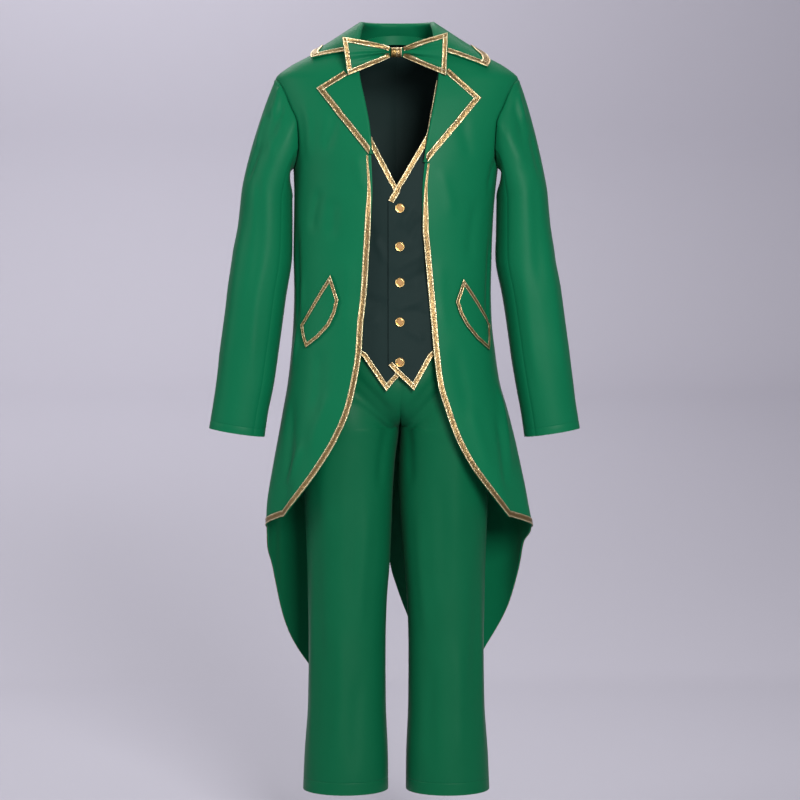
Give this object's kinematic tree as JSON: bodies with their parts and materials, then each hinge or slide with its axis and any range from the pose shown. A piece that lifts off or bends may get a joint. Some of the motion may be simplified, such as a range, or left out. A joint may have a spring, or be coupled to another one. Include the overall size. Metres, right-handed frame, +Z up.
{
  "type": "leprechaun costume",
  "caption": "Worn, hollow green tailcoat with swallow tails and gold tape, over a dark waistcoat, trousers and bow tie.",
  "frame": {"origin": "middle of the neck base, between the shoulders, where the wearer holds the costume up", "axes": "+X to the wearer's left, -Y to the front, +Z up"},
  "size_m": [0.666, 0.2988, 1.3816],
  "materials": {
    "coat_cloth": "smooth polyester suiting, soft satin",
    "trouser_cloth": "smooth polyester suiting, soft satin",
    "vest_cloth": "matte twill",
    "gold_tape": "metallic lame tape, crinkled gloss",
    "button_metal": "gold plated, polished"
  },
  "bodies": {
    "root": {"coat_front_R": "coat_cloth", "coat_front_L": "coat_cloth", "coat_back_R": "coat_cloth", "coat_tail_R": "coat_cloth", "coat_back_L": "coat_cloth", "coat_tail_L": "coat_cloth", "top_sleeve_R": "coat_cloth", "under_sleeve_R": "coat_cloth", "top_sleeve_L": "coat_cloth", "under_sleeve_L": "coat_cloth", "collar": "coat_cloth", "lapel_R": "coat_cloth", "lapel_L": "coat_cloth", "pocket_flap_R": "coat_cloth", "pocket_flap_L": "coat_cloth", "bow_wing_R": "coat_cloth", "bow_wing_L": "coat_cloth", "neck_band": "coat_cloth", "coat_edge_trim_R": "gold_tape", "coat_edge_trim_L": "gold_tape", "lapel_trim_R": "gold_tape", "lapel_trim_L": "gold_tape", "collar_trim": "gold_tape", "pocket_trim_R": "gold_tape", "pocket_trim_L": "gold_tape", "vest_neck_trim_R": "gold_tape", "vest_neck_trim_L": "gold_tape", "vest_hem_trim_R": "gold_tape", "vest_hem_trim_L": "gold_tape", "bow_trim_R": "gold_tape", "bow_trim_L": "gold_tape", "bow_knot": "gold_tape", "vest_front_R": "vest_cloth", "vest_front_L": "vest_cloth", "vest_back_R": "vest_cloth", "vest_back_L": "vest_cloth", "vest_button_1": "button_metal", "vest_button_2": "button_metal", "vest_button_3": "button_metal", "vest_button_4": "button_metal", "vest_button_5": "button_metal", "trouser_front_R": "trouser_cloth", "trouser_front_L": "trouser_cloth", "trouser_back_R": "trouser_cloth", "trouser_back_L": "trouser_cloth", "waistband": "trouser_cloth"}
  },
  "joints": []
}
